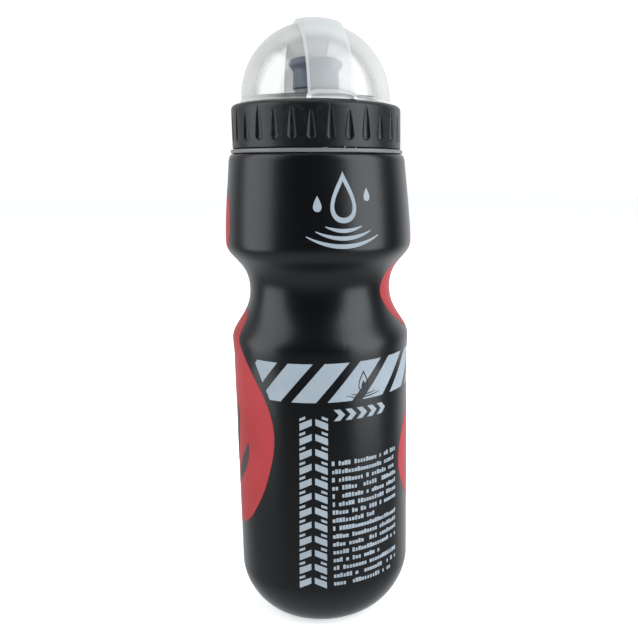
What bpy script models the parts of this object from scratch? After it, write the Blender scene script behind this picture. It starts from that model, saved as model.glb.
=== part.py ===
"""A squeeze bottle for a bicycle, with a screw lid, a pull-up drinking nozzle and a clear dust cover.

The origin is the centre of the foot. +Z runs up the bottle's axis and -Y is the front. Lengths are
in metres and every height is measured from the foot. An outline is a list of (radius, height).
"""

import math

import bmesh
import bpy
from mathutils import Matrix

GAP = 0.0003  # left between neighbours that touch on the real bottle
SHARP_ANGLE = math.radians(35)
BODY_SIDES = 36
LID_SIDES = 60
NOZZLE_SIDES = 24

# Bottle body
WALL = 0.0013
FOOT_INNER = 0.0185
FOOT_OUTER = 0.0220
PUSH_UP = 0.0028
BODY_RADIUS = 0.0367
CORNER_TOP = 0.0207
BODY_TOP = 0.1120
BEAD_RADIUS = 0.0371
BEAD_HEIGHT = 0.1211
WAIST_RADIUS = 0.02925
WAIST_HEIGHT = 0.1414
CHEST_RADIUS = 0.0382
CHEST_HEIGHT = 0.1613
SHOULDER_RADIUS = 0.0359
SHOULDER_HEIGHT = 0.1922
SHELF_RADIUS = 0.0342
SHELF_HEIGHT = 0.1959
NECK_RADIUS = 0.0300
NECK_TOP = 0.2124

# Thread of the neck and the lid, right-handed
PITCH = 0.0045
THREAD_TURNS = 1.5
THREAD_START = 0.2012
THREAD_ROOT_WIDTH = 0.0020
THREAD_CREST_WIDTH = 0.0010
THREAD_RUN_OUT = 5
NECK_THREAD_ROOT = 0.0295
NECK_THREAD_CREST = 0.03115
LID_THREAD_ROOT = 0.0323
LID_THREAD_CREST = 0.03045

# Seal ring
SEAL_INNER = 0.0318
SEAL_OUTER = 0.0348
SEAL_HEIGHT = 0.0015
SEAL_CORNER = 0.0003
SEAL_BOTTOM = SHELF_HEIGHT + GAP

# Lid
LID_RADIUS = 0.0340
LID_BOTTOM = SEAL_BOTTOM + SEAL_HEIGHT + GAP
LID_SHELF = 0.2150
LID_FILLET = 0.0026
LID_BORE = 0.0318
LID_CEILING = NECK_TOP + 2 * GAP
BOSS_RADIUS = 0.0283
BOSS_TOP = 0.2177
BOSS_UNDERSIDE = 0.2157
BOSS_CORNER = 0.0007
LIP_INNER = 0.0268
LIP_BOTTOM = 0.2100
STEM_HOLE = 0.0056
COLLAR_RADIUS = 0.0070
COLLAR_TOP = 0.2189
GROOVES = 30
GROOVE_TURN = math.radians(8.6)
GROOVE_LOW = 0.2007
GROOVE_HIGH = 0.2128
GROOVE_LOW_RADIUS = 0.0023
GROOVE_HIGH_RADIUS = 0.0003
GROOVE_DEPTH = 0.0010

# Valve stem and its seal
STEM_RADIUS = 0.00525
STEM_BORE = 0.0035
STEM_TOP = 0.2294
STEM_BEAD = 0.0059
STEM_BEAD_BOTTOM = 0.2266
STEM_FLANGE_RADIUS = 0.0090
STEM_FLANGE_BOTTOM = 0.2143
O_RING_LOW = 0.2273
O_RING_HIGH = 0.2289
O_RING_ROOT = 0.0045
O_RING_RADIUS = 0.00535
O_RING_THICKNESS = 0.0010
POST_RADIUS = 0.0013
POST_BOTTOM = 0.2210
PLUG_RADIUS = 0.0029
PLUG_BOTTOM = 0.2300
PLUG_TOP = 0.2332
RIBS = 3
RIB_THICKNESS = 0.0010
RIB_REACH = 0.0040
RIB_BOTTOM = 0.2215
RIB_TOP = 0.2285

# Nozzle: a rigid sleeve under a soft mouthpiece
SLEEVE_BOTTOM = 0.2196
SLEEVE_TOP = 0.2307
SLEEVE_CEILING = STEM_TOP + GAP
SLEEVE_RADIUS = 0.0073
SLEEVE_BORE = 0.0062
SLEEVE_LIP = 0.0056
SLEEVE_LIP_TOP = 0.2201
SLEEVE_HOLE = 0.0034
SLEEVE_COLLAR = 0.0089
SLEEVE_COLLAR_TOP = 0.2213
MOUTH_TOP = 0.2335
MOUTH_HOLE = 0.0033
MOUTH_NECK = 0.0086
MOUTH_NECK_HEIGHT = 0.2272
MOUTH_RIM = 0.0109
MOUTH_RIM_HEIGHT = 0.2313

# Dust cover: a dome and its skirt, with a raised strap over it that ends in a finger lip
COVER_BOTTOM = LID_SHELF + GAP
DOME_RADIUS = 0.0298
DOME_CENTRE = 0.2175
COVER_WALL = 0.0012
SKIRT_RADIUS = 0.0303
SKIRT_BORE = 0.0288
STRAP_TURN = math.radians(11)
STRAP_WIDTH = 0.0174
STRAP_RISE = 0.0014
LIP_WIDTH = 0.0186
LIP_HEIGHT = 0.0034
LIP_REACH = 0.0324
NOTCH_WIDTH = 0.0150
NOTCH_HEIGHT = 0.0017
NOTCH_START = 0.0303


def clear_scene():
    for obj in list(bpy.data.objects):
        bpy.data.objects.remove(obj, do_unlink=True)


def collection(name):
    made = bpy.data.collections.new(name)
    bpy.context.scene.collection.children.link(made)
    return made


def material(name, colour, roughness, alpha=1.0):
    made = bpy.data.materials.new(name)
    made.use_nodes = True
    shader = made.node_tree.nodes["Principled BSDF"]
    shader.inputs["Base Color"].default_value = (*colour, 1.0)
    shader.inputs["Roughness"].default_value = roughness
    shader.inputs["Metallic"].default_value = 0.0
    shader.inputs["Alpha"].default_value = alpha
    return made


def curve(start, start_pull, end_pull, end, steps):
    """The points of a cubic curve after its start."""
    points = []
    for step in range(1, steps + 1):
        t = step / steps
        weights = ((1 - t) ** 3, 3 * t * (1 - t) ** 2, 3 * t * t * (1 - t), t**3)
        corners = (start, start_pull, end_pull, end)
        points.append(tuple(sum(w * p[axis] for w, p in zip(weights, corners)) for axis in (0, 1)))
    return points


def arc(radius, centre, start_degrees, end_degrees, steps):
    """The points of an arc after its start, about centre = (radius, height)."""
    points = []
    for step in range(1, steps + 1):
        turn = math.radians(start_degrees + (end_degrees - start_degrees) * step / steps)
        points.append((centre[0] + radius * math.cos(turn), centre[1] + radius * math.sin(turn)))
    return points


def new_object(name, mesh, home):
    made = bpy.data.objects.new(name, mesh)
    home.objects.link(made)
    if home.name == "cutters":
        made.hide_render = True
        made.display_type = "WIRE"
    return made


def turned(name, outline, sides, home, closed=True):
    """Turn an outline, which runs down its outer side, about the axis. closed joins its ends."""
    base = min(height for _, height in outline)
    mesh = bpy.data.meshes.new(name)
    points = [(radius, 0.0, height - base) for radius, height in outline]
    edges = [(i, i + 1) for i in range(len(points) - 1)]
    if closed:
        edges.append((len(points) - 1, 0))
    mesh.from_pydata(points, edges, [])
    made = new_object(name, mesh, home)
    made.location.z = base
    screw = made.modifiers.new("Turn", "SCREW")
    screw.angle = math.tau
    screw.steps = sides
    screw.render_steps = sides
    screw.use_merge_vertices = True
    screw.merge_threshold = 0.00001
    return made


def from_bmesh(name, shape, home, transform=Matrix()):
    bmesh.ops.transform(shape, matrix=transform, verts=shape.verts)
    bmesh.ops.recalc_face_normals(shape, faces=shape.faces)
    mesh = bpy.data.meshes.new(name)
    shape.to_mesh(mesh)
    shape.free()
    return new_object(name, mesh, home)


def combine(obj, other, operation):
    step = obj.modifiers.new(f"{operation} {other.name}", "BOOLEAN")
    step.operation = operation
    step.solver = "EXACT"
    step.object = other


def settle(obj, finish):
    """Apply the modifiers of a part and shade its round faces smooth."""
    graph = bpy.context.evaluated_depsgraph_get()
    mesh = bpy.data.meshes.new_from_object(obj.evaluated_get(graph))
    obj.modifiers.clear()
    obj.data = mesh
    mesh.materials.clear()
    mesh.materials.append(finish)
    mesh.shade_smooth()
    mesh.set_sharp_from_angle(angle=SHARP_ANGLE)


def thread(name, root, crest, start, sides):
    """A helical ridge that rises out of its wall at both ends."""
    shape = bmesh.new()
    steps = round(THREAD_TURNS * sides)
    rings = []
    for step in range(steps + 1):
        turn = math.tau * step / sides
        middle = start + PITCH * step / sides
        rise = max(0.05, min(1.0, step / THREAD_RUN_OUT, (steps - step) / THREAD_RUN_OUT))
        top = root + (crest - root) * rise
        section = (
            (root, -THREAD_ROOT_WIDTH / 2),
            (top, -THREAD_CREST_WIDTH / 2),
            (top, THREAD_CREST_WIDTH / 2),
            (root, THREAD_ROOT_WIDTH / 2),
        )
        rings.append(
            [
                shape.verts.new((r * math.cos(turn), r * math.sin(turn), middle + offset))
                for r, offset in section
            ]
        )
    for lower, upper in zip(rings, rings[1:]):
        for corner in range(4):
            beside = (corner + 1) % 4
            shape.faces.new((lower[corner], lower[beside], upper[beside], upper[corner]))
    shape.faces.new(rings[0])
    shape.faces.new(rings[-1])
    return from_bmesh(name, shape, cutters)


def make_body():
    shoulder = (SHOULDER_RADIUS, SHOULDER_HEIGHT)
    chest = (CHEST_RADIUS, CHEST_HEIGHT)
    waist = (WAIST_RADIUS, WAIST_HEIGHT)
    bead = (BEAD_RADIUS, BEAD_HEIGHT)
    outline = [
        (NECK_RADIUS, NECK_TOP),
        (NECK_RADIUS, SHELF_HEIGHT + 0.0006),
        (NECK_RADIUS + 0.0006, SHELF_HEIGHT),
        (SHELF_RADIUS, SHELF_HEIGHT),
    ]
    outline += curve(outline[-1], (0.0353, SHELF_HEIGHT), (0.0358, 0.1943), shoulder, 3)
    outline += curve(shoulder, (0.0366, 0.1842), (CHEST_RADIUS, 0.1694), chest, 3)
    outline += curve(chest, (CHEST_RADIUS, 0.1545), (WAIST_RADIUS, 0.1537), waist, 7)
    outline += curve(waist, (WAIST_RADIUS, 0.1309), (BEAD_RADIUS, 0.1265), bead, 6)
    outline += [(BODY_RADIUS, BODY_TOP), (BODY_RADIUS, CORNER_TOP)]
    outline += curve(outline[-1], (BODY_RADIUS, 0.0111), (0.0280, 0.0), (FOOT_OUTER, 0.0), 5)
    outline += [(FOOT_INNER, 0.0), (FOOT_INNER - 0.0025, PUSH_UP / 2), (0.0, PUSH_UP)]
    body = turned("bottle_body", outline, BODY_SIDES, parts, closed=False)
    shell = body.modifiers.new("Wall", "SOLIDIFY")
    shell.thickness = WALL
    shell.offset = -1.0
    shell.use_even_offset = True
    ridge = thread("neck_thread", NECK_THREAD_ROOT, NECK_THREAD_CREST, THREAD_START, BODY_SIDES)
    combine(body, ridge, "UNION")
    return body


def make_seal_ring():
    top = SEAL_BOTTOM + SEAL_HEIGHT
    outline = [
        (SEAL_INNER, top),
        (SEAL_OUTER - SEAL_CORNER, top),
        (SEAL_OUTER, top - SEAL_CORNER),
        (SEAL_OUTER, SEAL_BOTTOM + SEAL_CORNER),
        (SEAL_OUTER - SEAL_CORNER, SEAL_BOTTOM),
        (SEAL_INNER, SEAL_BOTTOM),
    ]
    return turned("seal_ring", outline, BODY_SIDES, parts)


def groove_cutters():
    """Tapered cutters round the skirt, wide and deep at the bottom and pointed at the top."""
    shape = bmesh.new()
    length = GROOVE_HIGH - GROOVE_LOW
    low = LID_RADIUS - GROOVE_DEPTH + GROOVE_LOW_RADIUS
    lean = Matrix.Rotation(math.atan2(low - LID_RADIUS, length), 4, "X")
    middle = Matrix.Translation((0.0, -(low + LID_RADIUS) / 2, (GROOVE_LOW + GROOVE_HIGH) / 2))
    for index in range(GROOVES):
        turn = Matrix.Rotation(GROOVE_TURN + math.tau * index / GROOVES, 4, "Z")
        bmesh.ops.create_cone(
            shape,
            cap_ends=True,
            segments=8,
            radius1=GROOVE_LOW_RADIUS,
            radius2=GROOVE_HIGH_RADIUS,
            depth=length,
            matrix=turn @ middle @ lean.inverted(),
        )
    return from_bmesh("lid_grooves", shape, cutters)


def make_lid():
    fillet_centre = (LID_RADIUS - LID_FILLET, LID_SHELF - LID_FILLET)
    outline = [
        (STEM_HOLE, COLLAR_TOP),
        (COLLAR_RADIUS, COLLAR_TOP),
        (COLLAR_RADIUS + 0.0004, BOSS_TOP),
        (BOSS_RADIUS - BOSS_CORNER, BOSS_TOP),
        (BOSS_RADIUS, BOSS_TOP - BOSS_CORNER),
        (BOSS_RADIUS, LID_SHELF),
        (fillet_centre[0], LID_SHELF),
    ]
    outline += arc(LID_FILLET, fillet_centre, 90, 0, 3)
    outline += [
        (LID_RADIUS, LID_BOTTOM),
        (LID_BORE, LID_BOTTOM),
        (LID_BORE, LID_CEILING),
        (BOSS_RADIUS, LID_CEILING),
        (BOSS_RADIUS, LIP_BOTTOM),
        (LIP_INNER, LIP_BOTTOM),
        (LIP_INNER - 0.0006, BOSS_UNDERSIDE),
        (STEM_HOLE, BOSS_UNDERSIDE),
    ]
    lid = turned("screw_lid", outline, LID_SIDES, parts)
    ridge = thread(
        "lid_thread", LID_THREAD_ROOT, LID_THREAD_CREST, THREAD_START + PITCH / 2, LID_SIDES
    )
    combine(lid, ridge, "UNION")
    combine(lid, groove_cutters(), "DIFFERENCE")
    return lid


def make_stem():
    outline = [
        (STEM_BORE, STEM_TOP),
        (STEM_BEAD, STEM_TOP),
        (STEM_BEAD, O_RING_HIGH),
        (O_RING_ROOT, O_RING_HIGH),
        (O_RING_ROOT, O_RING_LOW),
        (STEM_BEAD, O_RING_LOW),
        (STEM_BEAD, STEM_BEAD_BOTTOM),
        (STEM_RADIUS, STEM_BEAD_BOTTOM - 0.0004),
        (STEM_RADIUS, BOSS_UNDERSIDE - GAP),
        (STEM_FLANGE_RADIUS, BOSS_UNDERSIDE - GAP),
        (STEM_FLANGE_RADIUS, STEM_FLANGE_BOTTOM),
        (STEM_BORE, STEM_FLANGE_BOTTOM),
    ]
    stem = turned("valve_stem", outline, NOZZLE_SIDES, parts)
    plug_outline = [
        (0.0, PLUG_TOP),
        (PLUG_RADIUS - 0.0006, PLUG_TOP),
        (PLUG_RADIUS, PLUG_TOP - 0.0006),
        (PLUG_RADIUS, PLUG_BOTTOM),
        (POST_RADIUS, PLUG_BOTTOM - 0.0008),
        (POST_RADIUS, POST_BOTTOM),
        (0.0, POST_BOTTOM),
    ]
    plug = turned("stem_plug", plug_outline, NOZZLE_SIDES, cutters, closed=False)
    for index in range(RIBS):
        shape = bmesh.new()
        bmesh.ops.create_cube(shape, size=1.0)
        size = Matrix.Diagonal((RIB_REACH, RIB_THICKNESS, RIB_TOP - RIB_BOTTOM, 1.0))
        place = Matrix.Translation((RIB_REACH / 2, 0.0, (RIB_TOP + RIB_BOTTOM) / 2))
        turn = Matrix.Rotation(math.tau * (index + 0.5) / RIBS, 4, "Z")
        combine(plug, from_bmesh(f"stem_rib_{index}", shape, cutters, turn @ place @ size), "UNION")
    combine(stem, plug, "UNION")
    return stem


def make_o_ring():
    bpy.ops.mesh.primitive_torus_add(
        major_segments=NOZZLE_SIDES,
        minor_segments=8,
        major_radius=O_RING_RADIUS,
        minor_radius=O_RING_THICKNESS / 2,
        location=(0.0, 0.0, (O_RING_LOW + O_RING_HIGH) / 2),
    )
    ring = bpy.context.object
    ring.name = "stem_o_ring"
    for home in list(ring.users_collection):
        home.objects.unlink(ring)
    parts.objects.link(ring)
    return ring


def make_sleeve():
    outline = [
        (SLEEVE_HOLE, SLEEVE_TOP),
        (SLEEVE_RADIUS, SLEEVE_TOP),
        (SLEEVE_RADIUS, SLEEVE_COLLAR_TOP),
        (SLEEVE_COLLAR, SLEEVE_COLLAR_TOP),
        (SLEEVE_COLLAR, SLEEVE_BOTTOM + GAP),
        (SLEEVE_COLLAR - GAP, SLEEVE_BOTTOM),
        (SLEEVE_LIP, SLEEVE_BOTTOM),
        (SLEEVE_LIP, SLEEVE_LIP_TOP),
        (SLEEVE_BORE, SLEEVE_LIP_TOP + GAP),
        (SLEEVE_BORE, SLEEVE_CEILING),
        (SLEEVE_HOLE, SLEEVE_CEILING),
    ]
    return turned("nozzle_sleeve", outline, NOZZLE_SIDES, parts)


def make_mouthpiece():
    rim = (MOUTH_RIM, MOUTH_RIM_HEIGHT)
    neck = (MOUTH_NECK, MOUTH_NECK_HEIGHT)
    shoulder = (0.0072, MOUTH_TOP)
    skirt_bottom = SLEEVE_COLLAR_TOP + GAP
    bore = SLEEVE_RADIUS + GAP
    outline = [(MOUTH_HOLE, MOUTH_TOP), shoulder]
    outline += curve(shoulder, (0.0090, MOUTH_TOP), (MOUTH_RIM, 0.2325), rim, 3)
    outline += curve(rim, (MOUTH_RIM, 0.2297), (MOUTH_NECK, 0.2300), neck, 4)
    outline += [
        (SLEEVE_COLLAR, skirt_bottom),
        (bore, skirt_bottom),
        (bore, SLEEVE_TOP + GAP),
        (MOUTH_HOLE, SLEEVE_TOP + GAP),
    ]
    return turned("mouthpiece", outline, NOZZLE_SIDES, parts)


def dome_outline(radius, skirt, bottom):
    """A solid dome on a straight skirt."""
    centre = (0.0, DOME_CENTRE)
    points = [(0.0, DOME_CENTRE + radius)]
    points += arc(radius, centre, 90, 0, 9)
    return points + [(skirt, bottom), (0.0, bottom)]


def lip_block(name, width, height, start, end):
    """Half an ellipse standing on the lid, drawn out from start to end along the strap's direction."""
    shape = bmesh.new()
    lay_down = Matrix.Rotation(math.radians(90), 4, "X")
    size = Matrix.Diagonal((width / 2, end - start, height, 1.0))
    place = Matrix.Translation((0.0, -(start + end) / 2, COVER_BOTTOM))
    turn = Matrix.Rotation(STRAP_TURN, 4, "Z")
    bmesh.ops.create_cone(
        shape, cap_ends=True, segments=24, radius1=1.0, radius2=1.0, depth=1.0, matrix=lay_down
    )
    return from_bmesh(name, shape, cutters, turn @ place @ size)


def make_cover():
    cover = turned(
        "dust_cover",
        dome_outline(DOME_RADIUS, SKIRT_RADIUS, COVER_BOTTOM - GAP),
        BODY_SIDES,
        parts,
        closed=False,
    )
    strap_radius = DOME_RADIUS + STRAP_RISE
    strap = turned(
        "cover_strap",
        dome_outline(strap_radius, strap_radius, COVER_BOTTOM + GAP),
        BODY_SIDES,
        cutters,
        closed=False,
    )
    shape = bmesh.new()
    bmesh.ops.create_cube(shape, size=1.0)
    size = Matrix.Diagonal((STRAP_WIDTH, 3 * strap_radius, 2 * strap_radius, 1.0))
    place = Matrix.Translation((0.0, 0.0, DOME_CENTRE + strap_radius / 2))
    turn = Matrix.Rotation(STRAP_TURN, 4, "Z")
    combine(strap, from_bmesh("strap_band", shape, cutters, turn @ place @ size), "INTERSECT")
    combine(cover, strap, "UNION")
    lip = lip_block("finger_lip", LIP_WIDTH, LIP_HEIGHT, DOME_RADIUS - COVER_WALL / 2, LIP_REACH)
    combine(cover, lip, "UNION")
    inside = dome_outline(DOME_RADIUS - COVER_WALL, SKIRT_BORE, COVER_BOTTOM)[:-1]
    inside += [(2 * DOME_RADIUS, COVER_BOTTOM), (2 * DOME_RADIUS, LID_BOTTOM), (0.0, LID_BOTTOM)]
    combine(cover, turned("cover_inside", inside, BODY_SIDES, cutters, closed=False), "DIFFERENCE")
    notch = lip_block("finger_notch", NOTCH_WIDTH, NOTCH_HEIGHT, NOTCH_START, 2 * DOME_RADIUS)
    combine(cover, notch, "DIFFERENCE")
    return cover


def join_to(parent, *children):
    """Parent the children where they stand."""
    bpy.context.view_layer.update()
    for child in children:
        child.parent = parent
        child.matrix_parent_inverse = parent.matrix_world.inverted()


clear_scene()
parts = collection("water_bottle")
cutters = collection("cutters")

body = make_body()
seal_ring = make_seal_ring()
lid = make_lid()
stem = make_stem()
o_ring = make_o_ring()
sleeve = make_sleeve()
mouthpiece = make_mouthpiece()
cover = make_cover()

settle(body, material("black bottle plastic", (0.012, 0.013, 0.015), 0.32))
settle(seal_ring, material("milky seal rubber", (0.42, 0.43, 0.44), 0.35))
settle(lid, material("charcoal lid plastic", (0.035, 0.038, 0.042), 0.55))
settle(stem, material("grey stem plastic", (0.16, 0.17, 0.20), 0.45))
settle(o_ring, material("black o-ring rubber", (0.02, 0.02, 0.02), 0.60))
settle(sleeve, material("slate sleeve plastic", (0.07, 0.08, 0.12), 0.40))
settle(mouthpiece, material("slate soft rubber", (0.10, 0.11, 0.17), 0.55))
settle(cover, material("clear cover plastic", (0.85, 0.87, 0.88), 0.12, alpha=0.35))

join_to(body, seal_ring)
join_to(seal_ring, lid)
join_to(lid, stem, o_ring, sleeve, cover)
join_to(sleeve, mouthpiece)
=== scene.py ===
# %% [markdown]
# # A bicycle bottle with a domed dust cover
#
# This lesson builds the looks of a squeeze bottle around its working model. The working model,
# the frame, already holds every part at its real size and place and knows how the parts move.
# Each step below makes one real piece of the bottle, explains how such a piece is made and why
# the script builds it in that way, and then lets the piece ride on the part that it belongs to.

# %% Load the frame
import math

import bmesh
import bpy
from mathutils import Matrix, Vector


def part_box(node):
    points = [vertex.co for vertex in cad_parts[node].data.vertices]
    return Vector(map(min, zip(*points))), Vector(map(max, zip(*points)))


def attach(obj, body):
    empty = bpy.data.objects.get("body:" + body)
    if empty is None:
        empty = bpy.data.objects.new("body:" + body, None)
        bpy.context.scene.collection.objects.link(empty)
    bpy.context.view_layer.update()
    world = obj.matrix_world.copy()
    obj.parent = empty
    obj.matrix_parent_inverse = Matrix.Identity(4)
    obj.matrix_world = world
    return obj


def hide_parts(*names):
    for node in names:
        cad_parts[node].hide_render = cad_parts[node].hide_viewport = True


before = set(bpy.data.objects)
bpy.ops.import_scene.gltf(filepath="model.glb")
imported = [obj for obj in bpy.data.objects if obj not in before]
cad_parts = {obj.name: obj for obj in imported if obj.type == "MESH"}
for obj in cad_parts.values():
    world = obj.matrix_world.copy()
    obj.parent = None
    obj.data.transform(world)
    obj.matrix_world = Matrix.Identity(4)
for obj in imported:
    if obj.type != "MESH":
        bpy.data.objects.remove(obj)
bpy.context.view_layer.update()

print("parts in the frame:", ", ".join(sorted(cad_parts)))

# %% [markdown]
# ## Sizes
#
# The frame is in metres with Z up the bottle's axis and the printed front towards -Y. The outer
# sizes of each piece come from the frame's boxes. Shapes that a box doesn't show, such as the
# waist, an inner step or a fillet, are given where they are used, in millimetres.

# %% Driving sizes
MM = 0.001
BODY_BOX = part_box("bottle_body")
SEAL_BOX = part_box("seal_ring")
LID_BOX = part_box("screw_lid")
STEM_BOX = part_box("valve_stem")
SLEEVE_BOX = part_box("nozzle_sleeve")
MOUTH_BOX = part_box("mouthpiece")
COVER_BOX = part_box("dust_cover")
CHEST_RADIUS = BODY_BOX[1].x
NECK_TOP = BODY_BOX[1].z
BODY_RADIUS = CHEST_RADIUS - 1.5 * MM
SIDES = 192
SMALL_SIDES = 96
ON_AXIS = 1e-7
SMOOTH_ANGLE = math.radians(32)
INK_SMOOTH_ANGLE = math.radians(50)
print(f"chest {2000 * CHEST_RADIUS:.1f} mm wide, neck rim {1000 * NECK_TOP:.1f} mm up")

# %% [markdown]
# ## Maths on sockets
#
# A shader or a geometry tree does its sums with Math nodes. Adding them one by one is long to
# write and hard to read, so a small class wraps a socket and lets Python's own operators add the
# nodes: `1 - mask * 0.5` then builds the same nodes as three calls. Every other node comes from
# one method that sets the node's own settings first and then its inputs.


# %% Wrapped sockets and node trees
def pick(sockets, key):
    """A socket by its number, its identifier or its name."""
    if isinstance(key, int):
        return sockets[key]
    named = [s for s in sockets if s.identifier == key] or [s for s in sockets if s.name == key]
    return named[0]


class Value:
    """An output socket. Arithmetic on it adds Math nodes to its tree."""

    def __init__(self, tree, socket):
        self.tree = tree
        self.socket = socket

    def other(self, key):
        """Another output of the same node."""
        return Value(self.tree, pick(self.socket.node.outputs, key))

    def __add__(self, other):
        return self.tree.math("ADD", self, other)

    def __sub__(self, other):
        return self.tree.math("SUBTRACT", self, other)

    def __mul__(self, other):
        return self.tree.math("MULTIPLY", self, other)

    def __truediv__(self, other):
        return self.tree.math("DIVIDE", self, other)

    def __pow__(self, other):
        return self.tree.math("POWER", self, other)

    def __lt__(self, other):
        return self.tree.math("LESS_THAN", self, other)

    def __gt__(self, other):
        return self.tree.math("GREATER_THAN", self, other)

    def __radd__(self, other):
        return self.tree.math("ADD", other, self)

    def __rsub__(self, other):
        return self.tree.math("SUBTRACT", other, self)

    def __rmul__(self, other):
        return self.tree.math("MULTIPLY", other, self)


class Tree:
    """A node tree that is written with calls and expressions."""

    def __init__(self, group):
        self.group = group

    def add(self, kind, settings=None, inputs=None, output=0):
        """Adds a node with its settings and inputs, and gives the output that is asked for."""
        node = self.group.nodes.new(kind)
        for name, value in (settings or {}).items():
            setattr(node, name, value)
        for key, value in (inputs or {}).items():
            socket = pick(node.inputs, key)
            if isinstance(value, Value):
                self.group.links.new(value.socket, socket)
            else:
                socket.default_value = value
        return Value(self, pick(node.outputs, output)) if node.outputs else node

    def math(self, operation, *values):
        return self.add("ShaderNodeMath", {"operation": operation}, dict(enumerate(values)))

    def vector(self, operation, *values):
        return self.add("ShaderNodeVectorMath", {"operation": operation}, dict(enumerate(values)))

    def clamp(self, value):
        """The value kept from 0 to 1."""
        return self.add("ShaderNodeClamp", {}, {0: value})

    def smooth(self, value, low, high):
        """0 below low, 1 above high and an even S between them."""
        ends = {0: value, 1: low, 2: high, 3: 0.0, 4: 1.0}
        return self.add("ShaderNodeMapRange", {"interpolation_type": "SMOOTHSTEP"}, ends)

    def mix(self, factor, first, second):
        """A mix of two colours."""
        ends = {"Factor_Float": factor, "A_Color": first, "B_Color": second}
        return self.add("ShaderNodeMix", {"data_type": "RGBA"}, ends, "Result_Color")

    def parts(self, vector):
        """The x, y and z of a vector."""
        x = self.add("ShaderNodeSeparateXYZ", {}, {0: vector})
        return x, x.other("Y"), x.other("Z")

    def point(self, x, y, z):
        """The vector with these parts."""
        return self.add("ShaderNodeCombineXYZ", {}, {0: x, 1: y, 2: z})

    def place(self):
        """The shaded point in its piece's own coordinates."""
        return self.add("ShaderNodeTexCoord", {}, {}, "Object")


print("socket maths is ready")

# %% [markdown]
# ## Turned shapes
#
# Most of a bottle is round, and its moulds are largely turned on a lathe. The same idea makes the
# meshes: an outline of (radius, height) points is swept once round the axis. Blender's Screw
# modifier would do this too, but here the rows are built in code, so that a pole closes with a
# single point and several turned shapes can share one mesh.


# %% Outlines and lathe
def rounded(corners, steps=5):
    """A closed outline whose corners (radius, height, fillet) are rounded with arcs."""
    points = []
    for index, (radius, height, fillet) in enumerate(corners):
        corner = Vector((radius, height))
        if fillet == 0:
            points.append(tuple(corner))
            continue
        before = Vector(corners[index - 1][:2]) - corner
        after = Vector(corners[(index + 1) % len(corners)][:2]) - corner
        half = before.angle(after) / 2
        reach = min(fillet / math.tan(half), 0.48 * before.length, 0.48 * after.length)
        turn_radius = reach * math.tan(half)
        middle = (before.normalized() + after.normalized()).normalized()
        centre = corner + middle * turn_radius / math.sin(half)
        start = corner + before.normalized() * reach - centre
        end = corner + after.normalized() * reach - centre
        sweep = start.angle_signed(end)
        for step in range(steps + 1):
            spoke = start.copy()
            spoke.rotate(Matrix.Rotation(-sweep * step / steps, 2))
            points.append(tuple(centre + spoke))
    return points


def curve(start, start_pull, end_pull, end, steps):
    """The points of a cubic curve after its start."""
    points = []
    for step in range(1, steps + 1):
        t = step / steps
        weights = ((1 - t) ** 3, 3 * t * (1 - t) ** 2, 3 * t * t * (1 - t), t**3)
        ends = (start, start_pull, end_pull, end)
        points.append(tuple(sum(w * p[axis] for w, p in zip(weights, ends)) for axis in (0, 1)))
    return points


def arc(radius, centre, start_degrees, end_degrees, steps):
    """The points of an arc after its start."""
    points = []
    for step in range(1, steps + 1):
        turn = math.radians(start_degrees + (end_degrees - start_degrees) * step / steps)
        points.append((centre[0] + radius * math.cos(turn), centre[1] + radius * math.sin(turn)))
    return points


def inset(outline, depth):
    """The outline moved inwards, towards the axis, by a wall's thickness."""
    points = []
    for index, point in enumerate(outline):
        before = Vector(outline[max(index - 1, 0)])
        after = Vector(outline[min(index + 1, len(outline) - 1)])
        along = (after - before).normalized()
        points.append((max(point[0] + along.y * depth, 0.0), point[1] - along.x * depth))
    return points


def turned_into(shape, outline, sides=SIDES):
    """Sweeps a closed outline round the axis into a bmesh. Its poles become single points."""
    rows = []
    for radius, height in outline:
        count = 1 if radius < ON_AXIS else sides
        turns = [math.tau * k / sides for k in range(count)]
        rows.append([
            shape.verts.new((radius * math.sin(a), -radius * math.cos(a), height)) for a in turns
        ])
    for upper, lower in zip(rows, rows[1:] + rows[:1]):
        for k in range(sides if len(upper) + len(lower) > 2 else 0):
            beside = (k + 1) % sides
            ends = [upper[k % len(upper)], lower[k % len(lower)]]
            ends += [lower[beside % len(lower)], upper[beside % len(upper)]]
            shape.faces.new(sorted(set(ends), key=ends.index))


def skinned(shape, rings):
    """Joins a row of equal rings of points with faces and closes both ends."""
    for near, far in zip(rings, rings[1:]):
        for k in range(len(near)):
            beside = (k + 1) % len(near)
            shape.faces.new((near[k], near[beside], far[beside], far[k]))
    shape.faces.new(rings[0])
    shape.faces.new(rings[-1])


def finished(name, shape, material):
    """An object from a bmesh, with its faces outwards and its round faces smooth."""
    bmesh.ops.recalc_face_normals(shape, faces=shape.faces)
    mesh = bpy.data.meshes.new(name)
    shape.to_mesh(mesh)
    shape.free()
    made = bpy.data.objects.new(name, mesh)
    bpy.context.scene.collection.objects.link(made)
    mesh.materials.append(material)
    mesh.shade_smooth()
    mesh.set_sharp_from_angle(angle=SMOOTH_ANGLE)
    return made


def turned(name, outline, material, sides=SIDES):
    """An object made by sweeping a closed outline round the axis."""
    shape = bmesh.new()
    turned_into(shape, outline, sides)
    return finished(name, shape, material)


def report(piece):
    """Prints a piece's faces and its size in millimetres."""
    wide, deep, tall = piece.dimensions * 1000
    print(f"{piece.name}: {len(piece.data.polygons)} faces, {wide:.1f} x {deep:.1f} x {tall:.1f} mm")


print("lathe is ready")

# %% [markdown]
# ## Geometry Nodes from code
#
# Geometry Nodes repeat shapes and lay them on surfaces. A tree is built once, with named inputs,
# and then run on an object as a modifier whose inputs are set by each socket's identifier. The
# result is turned into a plain mesh, so nothing in the finished piece depends on the tree.


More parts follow.
